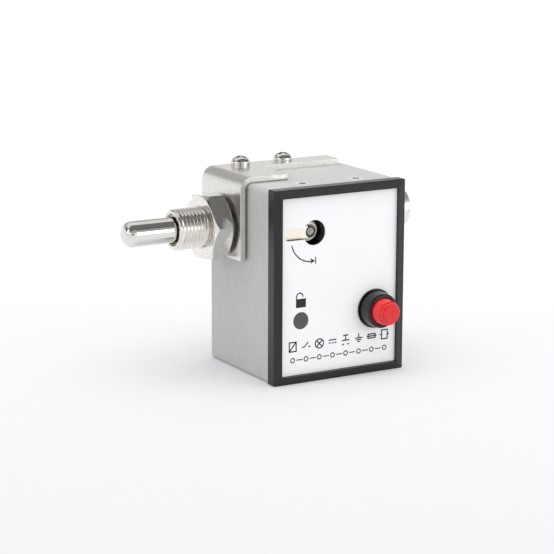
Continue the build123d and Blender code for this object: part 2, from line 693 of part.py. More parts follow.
# Release arm: a bent plate clamped between bolt and plunger, with an upright slot in front
with BuildPart() as release_arm:
    with BuildSketch(facing_right(ARM_X)):
        with Locations((AXIS_Y, AXIS_Z)):
            Circle(ARM_HUB_R)
        with Locations((ARM_FRONT_Y, ARM_LOW_Z)):
            Rectangle(ARM_T, ARM_HIGH_Z - ARM_LOW_Z, align=Align.MIN)
        make_hull()
        with Locations((AXIS_Y, AXIS_Z)):
            Circle(SPIGOT_R + FIT_GAP, mode=Mode.SUBTRACT)
    extrude(amount=ARM_T)
    with BuildSketch(facing_front(ARM_FRONT_Y + ARM_T)):
        with Locations((ARM_X, ARM_LOW_Z)):
            Rectangle(ARM_END_X - ARM_X, ARM_HIGH_Z - ARM_LOW_Z, align=Align.MIN)
        with Locations((DRIVE_X, (DRIVE_Z + DRIVE_LOW_Z) / 2)):
            slot_span = DRIVE_Z - DRIVE_LOW_Z + 2 * DRIVE_SLOT_HALF_W
            SlotOverall(slot_span, 2 * DRIVE_SLOT_HALF_W, rotation=QUARTER_TURN, mode=Mode.SUBTRACT)
    extrude(amount=ARM_T)
    bend_edges = release_arm.edges().filter_by(Axis.Z).group_by(Axis.Y)[0]
    fillet(bend_edges.sort_by(Axis.X)[0], ARM_BEND_R)
finish(release_arm.part, "release_arm", STEEL)

# Plunger: screwed on the bolt's spigot, holds the tail rod at its other end
with BuildPart() as plunger:
    with BuildSketch(facing_right(ARM_X + ARM_T)):
        with Locations((AXIS_Y, AXIS_Z)):
            Circle(PLUNGER_R)
    extrude(amount=PLUNGER_END_X - ARM_X - ARM_T)
    with Locations(Plane((ARM_X + ARM_T, AXIS_Y, AXIS_Z), z_dir=(-1, 0, 0))):
        Hole(SPIGOT_R + FIT_GAP, depth=SPIGOT_L - ARM_T + SLIDE_GAP)
    with Locations(Plane((PLUNGER_END_X, AXIS_Y, AXIS_Z), z_dir=(1, 0, 0))):
        Hole(ROD_R + FIT_GAP, depth=ROD_SEAT)
finish(plunger.part, "plunger", STEEL)

# Tail rod: runs through the fixed core, its head bears on the return spring
with BuildPart() as tail_rod:
    with BuildSketch(facing_right(PLUNGER_END_X - ROD_SEAT)):
        with Locations((AXIS_Y, AXIS_Z)):
            Circle(ROD_R)
    extrude(amount=ROD_HEAD_X - PLUNGER_END_X + ROD_SEAT)
    with BuildSketch(facing_right(ROD_HEAD_X)):
        with Locations((AXIS_Y, AXIS_Z)):
            Circle(ROD_HEAD_R)
    extrude(amount=ROD_HEAD_T)
finish(tail_rod.part, "tail_rod", BRASS)

# Return spring between the rod's head and the end plug
with BuildPart() as return_spring:
    with BuildLine() as spring_line:
        Helix(
            pitch=(PLUG_HEAD_X - ROD_HEAD_X - ROD_HEAD_T - 2 * SPRING_WIRE_R - 2 * FIT_GAP) / SPRING_TURNS,
            height=PLUG_HEAD_X - ROD_HEAD_X - ROD_HEAD_T - 2 * SPRING_WIRE_R - 2 * FIT_GAP,
            radius=SPRING_R,
            center=(ROD_HEAD_X + ROD_HEAD_T + SPRING_WIRE_R + FIT_GAP, AXIS_Y, AXIS_Z),
            direction=(1, 0, 0),
        )
    with BuildSketch(Plane(origin=spring_line.line @ 0, z_dir=spring_line.line % 0)):
        Circle(SPRING_WIRE_R)
    sweep(path=spring_line.line, is_frenet=True)
finish(return_spring.part, "return_spring", STEEL)

# Solenoid frame: a folded U of steel strip round the coil
with BuildPart() as solenoid_frame:
    with BuildSketch(facing_front(AXIS_Y + COIL_R + FRAME_GAP)):
        with Locations((FRAME_X, FRAME_LOW_Z)):
            Rectangle(INNER_RIGHT_X - FRAME_X, AXIS_Z + COIL_R - FRAME_LOW_Z, align=Align.MIN)
        with Locations((COIL_X, FRAME_LOW_Z + FRAME_T)):
            Rectangle(
                COIL_END_X - COIL_X,
                AXIS_Z + COIL_R - FRAME_LOW_Z - FRAME_T,
                align=Align.MIN,
                mode=Mode.SUBTRACT,
            )
    extrude(amount=2 * (COIL_R + FRAME_GAP))
    fillet(solenoid_frame.edges().filter_by(Axis.Y).group_by(Axis.Z)[0], FRAME_BEND_R)
    with Locations(Plane((FRAME_X, AXIS_Y, AXIS_Z), z_dir=(-1, 0, 0))):
        Hole(PLUNGER_R + FRAME_HOLE_CLEAR, depth=FRAME_T)
    with Locations(Plane((INNER_RIGHT_X, AXIS_Y, AXIS_Z), z_dir=(1, 0, 0))):
        Hole(CORE_SPIGOT_R + FIT_GAP, depth=FRAME_T)
finish(solenoid_frame.part, "solenoid_frame", STEEL)

# Coil bobbin
BOBBIN_X = COIL_X + BOBBIN_PLAY
BOBBIN_END_X = COIL_END_X - BOBBIN_PLAY
BOBBIN_BORE_R = PLUNGER_R + PLUNGER_CLEAR
with BuildPart() as coil_bobbin:
    with BuildSketch(bolt_profile_plane()):
        with BuildLine():
            Polyline(
                (BOBBIN_X, BOBBIN_BORE_R),
                (BOBBIN_X, COIL_R),
                (BOBBIN_X + BOBBIN_FLANGE_T, COIL_R),
                (BOBBIN_X + BOBBIN_FLANGE_T, BOBBIN_BORE_R + BOBBIN_T),
                (BOBBIN_END_X - BOBBIN_FLANGE_T, BOBBIN_BORE_R + BOBBIN_T),
                (BOBBIN_END_X - BOBBIN_FLANGE_T, COIL_R),
                (BOBBIN_END_X, COIL_R),
                (BOBBIN_END_X, BOBBIN_BORE_R),
                close=True,
            )
        make_face()
    revolve(axis=BOLT_AXIS)
finish(coil_bobbin.part, "coil_bobbin", (0.85, 0.85, 0.80))

# Coil winding
with BuildPart() as coil_winding:
    with BuildSketch(facing_right(BOBBIN_X + BOBBIN_FLANGE_T)):
        with Locations((AXIS_Y, AXIS_Z)):
            Circle(COIL_R - WINDING_INSET)
            Circle(BOBBIN_BORE_R + BOBBIN_T + FIT_GAP, mode=Mode.SUBTRACT)
    extrude(amount=BOBBIN_END_X - BOBBIN_X - 2 * BOBBIN_FLANGE_T)
finish(coil_winding.part, "coil_winding", (0.62, 0.30, 0.12))

# Fixed core: its threaded spigot goes through frame and wall and holds the rear sleeve
SPRING_BORE_X = ROD_HEAD_X - SLIDE_GAP
with BuildPart() as fixed_core:
    with BuildSketch(bolt_profile_plane()):
        with BuildLine():
            Polyline(
                (CORE_X, ROD_R + ROD_CLEAR),
                (CORE_X, CORE_R),
                (COIL_END_X, CORE_R),
                (COIL_END_X, CORE_SPIGOT_R),
                (CORE_END_X, CORE_SPIGOT_R),
                (CORE_END_X, SPRING_BORE_R),
                (SPRING_BORE_X, SPRING_BORE_R),
                (SPRING_BORE_X, ROD_R + ROD_CLEAR),
                close=True,
            )
        make_face()
    revolve(axis=BOLT_AXIS)
finish(fixed_core.part, "fixed_core", STEEL)

# Rear sleeve on that spigot
with BuildPart() as rear_sleeve:
    with BuildSketch(bolt_profile_plane()):
        with BuildLine():
            Polyline(
                (RIGHT_X, CORE_SPIGOT_R + FIT_GAP),
                (RIGHT_X, REAR_R),
                (PLUG_HEAD_X, REAR_R),
                (PLUG_HEAD_X, PLUG_SHANK_R + FIT_GAP),
                (PLUG_SHANK_X - SLIDE_GAP, PLUG_SHANK_R + FIT_GAP),
                (PLUG_SHANK_X - SLIDE_GAP, SPRING_BORE_R),
                (CORE_END_X + SLIDE_GAP, SPRING_BORE_R),
                (CORE_END_X + SLIDE_GAP, CORE_SPIGOT_R + FIT_GAP),
                close=True,
            )
        make_face()
    revolve(axis=BOLT_AXIS)
finish(rear_sleeve.part, "rear_sleeve", NICKEL)

# End plug: a domed head with a screwdriver slot, its hollow shank seats the spring
with BuildPart() as end_plug:
    with BuildSketch(bolt_profile_plane()):
        with BuildLine():
            plug_side = Polyline(
                (PLUG_HEAD_X, 0),
                (PLUG_HEAD_X, SPRING_BORE_R),
                (PLUG_SHANK_X, SPRING_BORE_R),
                (PLUG_SHANK_X, PLUG_SHANK_R),
                (PLUG_HEAD_X, PLUG_SHANK_R),
                (PLUG_HEAD_X, REAR_R),
                (REAR_END_X - PLUG_DOME, REAR_R),
            )
            dome_base = (REAR_END_X - PLUG_DOME, 0)
            plug_dome = EllipticalCenterArc(dome_base, PLUG_DOME, REAR_R, arc_size=QUARTER_TURN)
            Line(plug_dome @ 0, plug_side @ 0)
        make_face()
    revolve(axis=BOLT_AXIS)
    with BuildSketch(facing_right(REAR_END_X)):
        with Locations((AXIS_Y, AXIS_Z)):
            Rectangle(2 * REAR_R, PLUG_SLOT_W)
    extrude(amount=-PLUG_SLOT_DEPTH, mode=Mode.SUBTRACT)
finish(end_plug.part, "end_plug", NICKEL)

# Key lever: arm behind the slot, a lower eye behind the keyhole, hub on the post, crank at the back
with BuildPart() as key_lever:
    with BuildSketch(facing_front(LEVER_Y + LEVER_ARM_T)):
        with Locations((KEY_X - LEVER_ARM_REACH, KEY_Z)):
            arm_align = (Align.MIN, Align.CENTER)
            Rectangle(LEVER_ARM_REACH - LEVER_ARM_ROOT, LEVER_ARM_H, align=arm_align)
    extrude(amount=LEVER_ARM_T)
    arm_end = key_lever.faces().sort_by(Axis.X)[0]
    fillet(arm_end.edges().filter_by(Axis.Y), LEVER_ARM_H / 2 - FIT_GAP)
    fillet(key_lever.faces().sort_by(Axis.Y)[0].edges().filter_by(Axis.X), LEVER_EDGE_R)
    with BuildSketch(facing_front(LEVER_Y + LEVER_ARM_T)):
        with Locations((KEY_X, KEY_Z)):
            Circle(EYE_R)
    extrude(amount=LEVER_ARM_T - EYE_STEP)
    with BuildSketch(facing_front(CRANK_BACK_Y)):
        with Locations((KEY_X, KEY_Z)):
            Circle(HUB_R)
    extrude(amount=CRANK_BACK_Y - LEVER_Y - LEVER_ARM_T)
    with BuildSketch(facing_front(CRANK_BACK_Y)):
        with Locations((KEY_X, KEY_Z)):
            Circle(HUB_R)
        with Locations((DRIVE_X, DRIVE_Z)):
            Circle(CRANK_END_R)
        make_hull()
        with Locations((DRIVE_X, DRIVE_Z)):
            Circle(DRIVE_PIN_R + FIT_GAP, mode=Mode.SUBTRACT)
    extrude(amount=CRANK_T)
    with Locations(Plane((KEY_X, LEVER_Y, KEY_Z), z_dir=(0, -1, 0))):
        Hole(EYE_BORE_R, depth=EYE_BORE_DEPTH)
        Hole(POST_R + POST_FIT, depth=CRANK_BACK_Y - LEVER_Y)
finish(key_lever.part, "key_lever", NICKEL)

# Drive pin, riveted in the crank
with BuildPart() as drive_pin:
    with BuildSketch(facing_front(ARM_FRONT_Y + ARM_T + DRIVE_PIN_PAST)):
        with Locations((DRIVE_X, DRIVE_Z)):
            Circle(DRIVE_PIN_R)
    extrude(amount=ARM_FRONT_Y + ARM_T + DRIVE_PIN_PAST - CRANK_FRONT_Y)
finish(drive_pin.part, "drive_pin", STEEL)

# Mechanism plate with the arc slot that the drive pin sweeps
pin_path = CenterArc((KEY_X, KEY_Z), CRANK_R, -QUARTER_TURN - CRANK_HALF_TURN, 2 * CRANK_HALF_TURN)
with BuildPart() as mechanism_plate:
    with BuildSketch(facing_front(PLATE_BACK_Y)):
        with Locations((KEY_X - PLATE_LEFT, KEY_Z - PLATE_DOWN)):
            Rectangle(PLATE_LEFT + PLATE_RIGHT, PLATE_UP + PLATE_DOWN, align=Align.MIN)
        fillet(vertices(), PLATE_CORNER_R)
        with Locations((KEY_X, KEY_Z)):
            Circle(POST_R + FIT_GAP, mode=Mode.SUBTRACT)
        with Locations(*plate_boss_places()):
            Circle(BOSS_HOLE_R + SMALL_SHANK_GAP, mode=Mode.SUBTRACT)
        SlotArc(pin_path, 2 * DRIVE_SLOT_HALF_W, mode=Mode.SUBTRACT)
    extrude(amount=PLATE_T)
finish(mechanism_plate.part, "mechanism_plate", STEEL)

# Pivot post, riveted behind the plate
with BuildPart() as pivot_post:
    with BuildSketch(facing_front(PLATE_BACK_Y)):
        with Locations((KEY_X, KEY_Z)):
            Circle(POST_R)
    extrude(amount=PLATE_BACK_Y - LABEL_Y - POST_END_DEPTH)
    with BuildSketch(facing_front(PLATE_BACK_Y + POST_RIVET_T)):
        with Locations((KEY_X, KEY_Z)):
            Circle(POST_RIVET_R)
    extrude(amount=POST_RIVET_T)
finish(pivot_post.part, "pivot_post", STEEL)

# Small screws in the bosses of the two plates
with BuildPart() as plate_screws:
    with BuildSketch(facing_front(PLATE_BACK_Y + SMALL_HEAD_H)):
        with Locations(*plate_boss_places()):
            Circle(SMALL_HEAD_R)
    extrude(amount=SMALL_HEAD_H)
    with BuildSketch(facing_front(PLATE_BACK_Y)):
        with Locations(*plate_boss_places()):
            Circle(BOSS_HOLE_R - FIT_GAP)
    extrude(amount=SMALL_SCREW_L)
finish(plate_screws.part, "plate_screws", STEEL)

with BuildPart() as board_screws:
    with BuildSketch(facing_front(BOARD_BACK_Y + SMALL_HEAD_H)):
        with Locations(*board_boss_places()):
            Circle(SMALL_HEAD_R)
    extrude(amount=SMALL_HEAD_H)
    with BuildSketch(facing_front(BOARD_BACK_Y)):
        with Locations(*board_boss_places()):
            Circle(BOSS_HOLE_R - FIT_GAP)
    extrude(amount=SMALL_SCREW_L)
finish(board_screws.part, "board_screws", STEEL)

# Push button: collar with a lip on the label and threaded barrel in one piece
with BuildPart() as button_body:
    with BuildSketch(front_profile_plane(BUTTON_X, BUTTON_Z)):
        with BuildLine():
            Polyline(
                (CAP_R + CAP_CLEAR, COLLAR_FRONT_Y),
                (COLLAR_TOP_R, COLLAR_FRONT_Y),
                (COLLAR_SIDE_R, LABEL_Y - COLLAR_LIP_T),
                (COLLAR_R, LABEL_Y - COLLAR_LIP_T),
                (COLLAR_R, LABEL_Y),
                (BARREL_R, LABEL_Y),
                (BARREL_R, BARREL_END_Y),
                (0, BARREL_END_Y),
                (0, BUTTON_FLOOR_Y),
                (STEM_R + STEM_CLEAR, BUTTON_FLOOR_Y),
                (STEM_R + STEM_CLEAR, CAP_FLOOR_Y),
                (CAP_R + CAP_CLEAR, CAP_FLOOR_Y),
                close=True,
            )
        make_face()
    revolve(axis=BUTTON_AXIS)
    collar_rims = button_body.edges().filter_by(GeomType.CIRCLE).group_by(Axis.Y)[0]
    fillet(collar_rims.sort_by(SortBy.RADIUS)[-1], COLLAR_EDGE_R)
finish(button_body.part, "button_body", BLACK)

# Red cap, narrower towards its face, with its stem
with BuildPart() as button_cap:
    with BuildSketch(front_profile_plane(BUTTON_X, BUTTON_Z)):
        with BuildLine():
            Polyline(
                (0, CAP_BACK_Y),
                (CAP_R, CAP_BACK_Y),
                (CAP_R, COLLAR_FRONT_Y),
                (CAP_TOP_R, CAP_FRONT_Y + CAP_PAD_H),
                (0, CAP_FRONT_Y + CAP_PAD_H),
                close=True,
            )
        make_face()
    revolve(axis=BUTTON_AXIS)
    fillet(button_cap.faces().sort_by(Axis.Y)[0].edges(), CAP_EDGE_R)
    with BuildSketch(facing_front(CAP_FRONT_Y + CAP_PAD_H)):
        with Locations((BUTTON_X, BUTTON_Z)):
            Circle(CAP_PAD_R)
    extrude(amount=CAP_PAD_H)
    fillet(button_cap.faces().sort_by(Axis.Y)[0].edges(), CAP_PAD_EDGE_R)
    with BuildSketch(facing_front(STEM_END_Y)):
        with Locations((BUTTON_X, BUTTON_Z)):
            Circle(STEM_R)
    extrude(amount=STEM_END_Y - CAP_BACK_Y)
finish(button_cap.part, "button_cap", (0.80, 0.08, 0.08))

# Button spring between the stem and the barrel's end
with BuildPart() as button_spring:
    with BuildLine() as button_spring_line:
        Helix(
            pitch=BUTTON_SPRING_L / BUTTON_SPRING_TURNS,
            height=BUTTON_SPRING_L,
            radius=BUTTON_SPRING_R,
            center=(BUTTON_X, STEM_END_Y + FIT_GAP + BUTTON_SPRING_WIRE_R, BUTTON_Z),
            direction=(0, 1, 0),
        )
    with BuildSketch(Plane(origin=button_spring_line.line @ 0, z_dir=button_spring_line.line % 0)):
        Circle(BUTTON_SPRING_WIRE_R)
    sweep(path=button_spring_line.line, is_frenet=True)
finish(button_spring.part, "button_spring", STEEL)

# Nut behind the panel
with BuildPart() as button_nut:
    with BuildSketch(facing_front(PANEL_BACK_Y + BUTTON_NUT_T)):
        with Locations((BUTTON_X, BUTTON_Z)):
            RegularPolygon(BUTTON_NUT_FLATS / 2, HEX_SIDES, major_radius=False)
            Circle(BARREL_R + FIT_GAP, mode=Mode.SUBTRACT)
    extrude(amount=BUTTON_NUT_T)
finish(button_nut.part, "button_nut", STEEL)

# Two solder tabs at the barrel's end
with BuildPart() as button_contacts:
    with BuildSketch(facing_back(BARREL_END_Y, BUTTON_X, BUTTON_Z)):
        with GridLocations(CONTACT_PITCH, 1, 2, 1):
            Rectangle(CONTACT_T, CONTACT_W)
    extrude(amount=CONTACT_L)
finish(button_contacts.part, "button_contacts", BRASS)

# Indicator lens, flush with the label, hollow behind for the lamp
with BuildPart() as indicator_lens:
    with BuildSketch(facing_front(PANEL_BACK_Y)):
        with Locations((LENS_X, LENS_Z)):
            Circle(LENS_R)
    extrude(amount=PANEL_BACK_Y - LABEL_Y)
    with BuildSketch(facing_front(PANEL_BACK_Y + LENS_FLANGE_T)):
        with Locations((LENS_X, LENS_Z)):
            Circle(LENS_FLANGE_R)
    extrude(amount=LENS_FLANGE_T)
    with Locations(Plane((LENS_X, PANEL_BACK_Y + LENS_FLANGE_T, LENS_Z), z_dir=(0, 1, 0))):
        Hole(LED_R + LED_CLEAR, depth=PANEL_BACK_Y + LENS_FLANGE_T - LED_Y)
finish(indicator_lens.part, "indicator_lens", (0.30, 0.30, 0.31))

# Indicator lamp on its two leads
with BuildPart() as indicator_led:
    with BuildSketch(facing_front(LED_END_Y)):
        with Locations((LENS_X, LENS_Z)):
            Circle(LED_R)
    extrude(amount=LED_END_Y - LED_Y - LED_CLEAR)
    fillet(indicator_led.faces().sort_by(Axis.Y)[0].edges(), LED_R - LED_TIP_R)
    with BuildSketch(facing_front(LED_END_Y)):
        with Locations((LENS_X, LENS_Z)):
            Circle(LED_RIM_R)
    extrude(amount=LED_RIM_T)
    with BuildSketch(facing_back(LED_END_Y, LENS_X, LENS_Z)):
        with GridLocations(LED_LEAD_PITCH, 1, 2, 1):
            Circle(LED_LEAD_R)
    extrude(amount=BOARD_FRONT_Y - LED_END_Y)
finish(indicator_led.part, "indicator_led", (0.75, 0.85, 0.75))

# Circuit board and what is soldered on its back
with BuildPart() as circuit_board:
    with BuildSketch(facing_front(BOARD_BACK_Y)):
        with Locations((BOARD_X, BOARD_Z)):
            Rectangle(BOARD_W, BOARD_H)
        with Locations(*board_boss_places()):
            Circle(BOSS_HOLE_R + SMALL_SHANK_GAP, mode=Mode.SUBTRACT)
    extrude(amount=BOARD_T)
finish(circuit_board.part, "circuit_board", (0.10, 0.35, 0.18))

with BuildPart() as relay:
    with BuildSketch(facing_back(BOARD_BACK_Y, *RELAY_AT)):
        Rectangle(RELAY_W, RELAY_H)
    extrude(amount=RELAY_L)
    fillet(relay.edges().filter_by(Axis.Y), COMPONENT_EDGE_R)
finish(relay.part, "relay", BLACK)

with BuildPart() as capacitor:
    with BuildSketch(facing_back(BOARD_BACK_Y, *CAPACITOR_AT)):
        Circle(CAPACITOR_R)
    extrude(amount=CAPACITOR_L)
    fillet(capacitor.faces().sort_by(Axis.Y)[-1].edges(), COMPONENT_EDGE_R)
finish(capacitor.part, "capacitor", (0.12, 0.14, 0.30))

with BuildPart() as terminal_block:
    with BuildSketch(facing_back(BOARD_BACK_Y, *TERMINAL_AT)):
        Rectangle(TERMINAL_W, TERMINAL_H)
    extrude(amount=TERMINAL_L)
    with BuildSketch(facing_back(BOARD_BACK_Y + TERMINAL_L, *TERMINAL_AT)):
        with GridLocations(TERMINAL_W / 2, 1, 2, 1):
            Circle(TERMINAL_HOLE_R)
    extrude(amount=-TERMINAL_L / 2, mode=Mode.SUBTRACT)
finish(terminal_block.part, "terminal_block", (0.15, 0.40, 0.20))

with BuildPart() as resistors:
    for i in range(RESISTOR_COUNT):
        resistor_x = LAST_RESISTOR_X - i * RESISTOR_PITCH
        with BuildSketch(Plane((resistor_x, BOARD_BACK_Y + RESISTOR_R, RESISTOR_Z))):
            Circle(RESISTOR_R)
        extrude(amount=RESISTOR_L / 2, both=True)
finish(resistors.part, "resistors", (0.75, 0.62, 0.45))

# Rubber grommet of the cable inlet in the back
with BuildPart() as cable_grommet:
    with BuildSketch(front_profile_plane(INLET_X, INLET_Z)):
        with BuildLine():
            Polyline(
                (GROMMET_BORE_R, INNER_BACK_Y - GROMMET_FLANGE_T),
                (GROMMET_FLANGE_R, INNER_BACK_Y - GROMMET_FLANGE_T),
                (GROMMET_FLANGE_R, INNER_BACK_Y),
                (GROMMET_NECK_R - FIT_GAP, INNER_BACK_Y),
                (GROMMET_NECK_R - FIT_GAP, BACK_Y),
                (GROMMET_FLANGE_R, BACK_Y),
                (GROMMET_FLANGE_R, BACK_Y + GROMMET_FLANGE_T),
                (GROMMET_BORE_R, BACK_Y + GROMMET_FLANGE_T),
                close=True,
            )
        make_face()
    revolve(axis=Axis((INLET_X, 0, INLET_Z), (0, 1, 0)))
finish(cable_grommet.part, "cable_grommet", BLACK)
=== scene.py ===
"""Looks of a small cabinet lock: finishes, screw thread, printed signs, studio light and camera."""

import json
import math
import bmesh
import bpy
from mathutils import Matrix, Vector


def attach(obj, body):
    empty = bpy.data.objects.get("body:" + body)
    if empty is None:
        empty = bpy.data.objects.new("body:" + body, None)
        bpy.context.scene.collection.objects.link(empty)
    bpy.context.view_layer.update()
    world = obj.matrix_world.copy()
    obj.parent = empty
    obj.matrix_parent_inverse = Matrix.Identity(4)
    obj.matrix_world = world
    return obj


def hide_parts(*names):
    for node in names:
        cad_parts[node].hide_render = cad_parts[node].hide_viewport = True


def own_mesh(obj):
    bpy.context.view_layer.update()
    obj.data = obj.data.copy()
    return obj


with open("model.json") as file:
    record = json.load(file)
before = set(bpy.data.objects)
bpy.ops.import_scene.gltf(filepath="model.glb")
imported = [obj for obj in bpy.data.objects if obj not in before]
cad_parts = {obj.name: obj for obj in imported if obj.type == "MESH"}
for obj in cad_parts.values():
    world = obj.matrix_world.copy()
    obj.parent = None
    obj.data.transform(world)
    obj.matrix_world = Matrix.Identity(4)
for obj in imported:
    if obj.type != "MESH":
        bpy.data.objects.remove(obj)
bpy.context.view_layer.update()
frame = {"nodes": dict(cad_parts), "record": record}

MM = 0.001
WHITE = (1, 1, 1, 1)

# Camera, solved from the edges of the box
CAMERA_AZIMUTH = math.radians(-30.128)
CAMERA_ELEVATION = math.radians(12.695)
CAMERA_ROLL = math.radians(0.236)
CAMERA_PLACE = Vector((-393.49, -655.34, 206.69)) * MM
CAMERA_NEAR = 0.01
LENS = 130.14
SENSOR = 36.0

# Guide sleeve, all in millimetres
SLEEVE_TIP_X = -53.5
SLEEVE_FLANGE_X = -26.75
SLEEVE_BACK_X = -25.25
SLEEVE_FLANGE_R = 10.5
SLEEVE_BORE_R = 5.2
SLEEVE_MOUTH_R = 6.1
SLEEVE_MOUTH_DEEP = 3.0
SLEEVE_MOUTH_CHAMFER = 0.25
BOLT_Y = 10.5
BOLT_Z = 56.65
THREAD_R = 8.0
THREAD_DEEP = 0.8
THREAD_PITCH = 1.5
THREAD_IN_NUT_R = 7.5
NUT_MOUTH_X = -41.95
NUT_BACK_X = -33.35

# The thread's flat crest and root are shares of the pitch, and its tip starts a little under the root
THREAD_CREST = 0.14
THREAD_ROOT = 0.16
THREAD_TIP_UNDER = 0.1
THREAD_STEPS = 10
THREAD_SEGMENTS = 96
THREAD_MERGE = 1e-5
RING_MERGE = 1e-4

# Steepest angle in degrees that still shades as one smooth surface
SMOOTH_ANGLE = 30
THREAD_SMOOTH_ANGLE = 35

# Springs: node, joint, axis, fixed end, moving end at rest and how far it goes, in millimetres
SPRINGS = (
    ("return_spring", "bolt_slide", (1, 0, 0), 47.65, 29.1, 12.0),
    ("button_spring", "button_press", (0, 1, 0), -13.2, -18.95, 3.0),
)

# Print on the plate, in millimetres
PLATE_Y = -24.5
INK_PROUD = 0.02
INK_SUNK = 0.05
STROKE = 0.5
ARC_STEPS = 32

# Keyhole and the arrow under it, with its arc in degrees
KEY_X = -11.2
KEY_Z = 57.7
ARROW_CENTRE = (-12.47, 55.55)
ARROW_R = 8.79
ARROW_START = 192.3
ARROW_END = 269
ARROW_STROKE = 0.48
ARROW_HEAD = ((-10.86, 46.92), (-13.0, 48.05), (-12.5, 46.85), (-12.85, 45.85))
ARROW_STOP = ((-10.62, 45.6), (-10.62, 48.35))
ARROW_STOP_STROKE = 0.44

# Padlock over the indicator
INDICATOR_X = -16.9
PADLOCK_W = 4.4
PADLOCK_H = 3.4
PADLOCK_BOTTOM_Z = 29.4
SHACKLE_R = 1.35
SHACKLE_SHIFT = 0.55
SHACKLE_LIFT = 0.9
SHACKLE_SUNK = 0.1
SHACKLE_ARC = (-8, 180)

# Row of circuit signs, and the row of terminals below it
SIGN_Z = 14.4
SIGN_FIRST_X = -20.4
SIGN_APART = 5.9
SIGN_HALF = 1.8
TERMINAL_Z = 9.1
TERMINAL_R = 0.85
TERMINAL_STROKE = 0.42
TERMINAL_STEPS = 20
TERMINAL_LINK_GAP = 1.6
TERMINAL_LINK_STROKE = 0.4

# Straight strokes of each circuit sign, from end to end, as seen from its own middle
SIGN_STROKES = {
    "coil": [((-1.5, -SIGN_HALF), (1.5, SIGN_HALF))],
    "contact": [((-1.9, -0.6), (-0.8, -0.6)), ((-0.8, -0.6), (0.9, 1.2)), ((1.0, -0.6), (1.9, -0.6))],
    "lamp": [((-1.1, 1.1), (1.1, -1.1)), ((-1.1, -1.1), (1.1, 1.1))],
    "direct_current": [
        ((-1.7, 0.7), (1.7, 0.7)),
        ((-1.7, -0.5), (-0.9, -0.5)),
        ((-0.4, -0.5), (0.4, -0.5)),
        ((0.9, -0.5), (1.7, -0.5)),
    ],
    "push_button": [
        ((0, SIGN_HALF), (0, -0.2)),
        ((-1.2, SIGN_HALF), (1.2, SIGN_HALF)),
        ((-1.7, -0.2), (1.7, -0.2)),
        ((-1.6, -SIGN_HALF), (-0.7, -SIGN_HALF)),
        ((1.6, -SIGN_HALF), (0.7, -SIGN_HALF)),
    ],
    "earth": [
        ((0, SIGN_HALF), (0, 0)),
        ((-1.7, 0), (1.7, 0)),
        ((-1.1, -0.75), (1.1, -0.75)),
        ((-0.5, -1.5), (0.5, -1.5)),
    ],
    "fuse": [((-2.2, 0), (2.2, 0))],
    "relay": [((-2.1, 0), (-1.3, 0)), ((1.3, 0), (2.1, 0))],
}
SIGN_FRAMES = {"coil": (3.0, 2 * SIGN_HALF), "fuse": (3.2, 1.6), "relay": (2.6, 2 * SIGN_HALF)}
SIGN_CIRCLES = {"lamp": SIGN_HALF}

# Finishes: broad mottling is this many times the size of the grain, and outside its rim the post is painted
# near black, as painted shade of the eye around it
BROAD_GRAIN = 9
COAT_ROUGHNESS = 0.08
EDGE_SAMPLES = 6
POST_PAINTED_SHADE_RIM = (1.25, 1.65)

# End parts that the photograph shows paler than the nut
PALE_NODES = ("end_plug", "rear_sleeve")

# Studio light from all round. The stops say how bright it is from the horizon, 0, to straight above, 1
WORLD_LEVEL = 0.92
WORLD_STOPS = ((0.0, 1.0), (0.26, 1.0), (0.36, 0.5), (0.56, 0.42), (0.72, 0.9), (1.0, 0.95))

# Darker places in it: where, degrees to the end of the full dark, degrees to its edge, light that is left
BAND_FRONT = (Vector((0, -0.38, 0.925)), 24, 29, 0.2)
GAP_LEFT = (Vector((-0.82, 0.37, 0.42)), 10, 15, 0.12)
GAP_BEHIND_CAMERA = (Vector((-0.49, -0.87, 0.02)), 11, 16, 0.12)

# Floor: its glow rises with the distance along the view, in metres, between near and far
FLOOR_SIZE = 8.0
FLOOR_COLOR = (0.69, 0.695, 0.71, 1)
FLOOR_ROUGHNESS = 0.9
FLOOR_GLOW_COLOR = (0.98, 0.98, 1.0, 1)
FLOOR_GLOW = (0.05, 0.6)
FLOOR_NEAR = -0.22
FLOOR_FAR = 1.5
VIEW_DIRECTION = (0.502, 0.865, 0)

# Lamps: name, place and size in metres, power in watts, and whether mirrored rays see it
LAMPS = (
    ("top_lamp", (0.05, -0.1, 1.1), 1.0, 4.6, False),
    ("front_lamp", (0.58, -0.98, 0.2), 0.5, 1.4, True),
    ("left_lamp", (-1.1, -0.1, 0.5), 0.6, 1.0, True),
)
LAMP_TARGET = Vector((0, 0, 0.04))


def linear(red, green, blue):
    """Linear colour of a colour that is given as it looks on a screen, from 0 to 255."""
    channels = [value / 255 for value in (red, green, blue)]
    return [((c + 0.055) / 1.055) ** 2.4 if c > 0.04045 else c / 12.92 for c in channels] + [1.0]


def link(tree, output, node, name):
    """Joins an output to the input of that name."""
    tree.links.new(output, node.inputs[name])


def vector_math(tree, operation, value, other=None):
    """The result of an operation on a vector, with a fixed second vector where it takes one."""
    step = tree.nodes.new("ShaderNodeVectorMath")
    step.operation = operation
    tree.links.new(value, step.inputs[0])
    if other is not None:
        step.inputs[1].default_value = other
    return step.outputs["Value" if operation in ("LENGTH", "DOT_PRODUCT") else "Vector"]


def number_math(tree, operation, first, second):
    """The result of an operation on two numbers."""
    step = tree.nodes.new("ShaderNodeMath")
    step.operation = operation
    tree.links.new(first, step.inputs[0])
    tree.links.new(second, step.inputs[1])
    return step.outputs[0]


